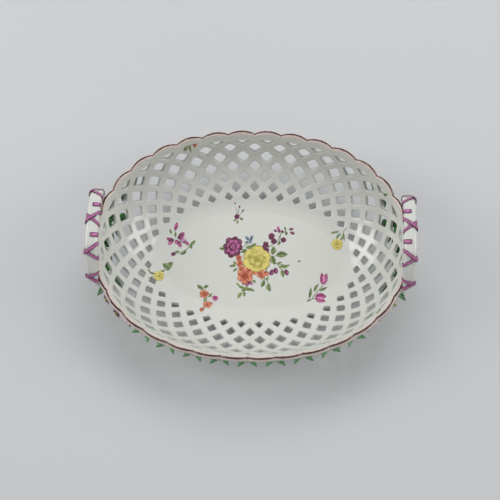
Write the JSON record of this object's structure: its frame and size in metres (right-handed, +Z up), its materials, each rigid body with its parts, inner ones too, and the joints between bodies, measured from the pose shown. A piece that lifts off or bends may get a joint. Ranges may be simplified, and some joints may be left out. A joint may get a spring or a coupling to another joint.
{
  "type": "porcelain basket",
  "caption": "Oval pierced porcelain basket: diamond lattice wall, lobed rim, low foot ring, arched end handles bound with ribbon, and applied flowers and leaves on the outside.",
  "frame": {"origin": "middle of the foot ring at the level of the table", "axes": "+Z up, +X along the length towards the right handle, +Y towards the back, so the picture looks from -Y and from above"},
  "size_m": [0.285, 0.2092, 0.0871],
  "materials": {
    "porcelain_body": "white glazed porcelain with painted flower sprays and a brown rim line",
    "porcelain_foot": "white glazed porcelain, bare where it stands",
    "porcelain_handle": "white glazed porcelain",
    "puce_ribbon": "puce enamel over glaze",
    "floret_enamel": "white glazed porcelain with a tinted heart",
    "leaf_enamel": "green enamel over glaze",
    "stem_enamel": "brown-green enamel over glaze",
    "bud_enamel": "brown-red enamel over glaze",
    "purple_enamel": "purple enamel over glaze",
    "white_enamel": "white glazed porcelain with a yellow heart"
  },
  "bodies": {
    "root": {"basket_body": "porcelain_body", "foot_ring": "porcelain_foot", "handle_left": "porcelain_handle", "handle_right": "porcelain_handle", "ribbon_left": "puce_ribbon", "ribbon_right": "puce_ribbon", "rim_florets": "floret_enamel", "rim_floret_leaves": "leaf_enamel", "spray_stems_left": "stem_enamel", "spray_stems_right": "stem_enamel", "spray_leaves_left": "leaf_enamel", "spray_leaves_right": "leaf_enamel", "spray_buds_right": "bud_enamel", "blossoms_left": "purple_enamel", "blossoms_right": "white_enamel"}
  },
  "joints": []
}
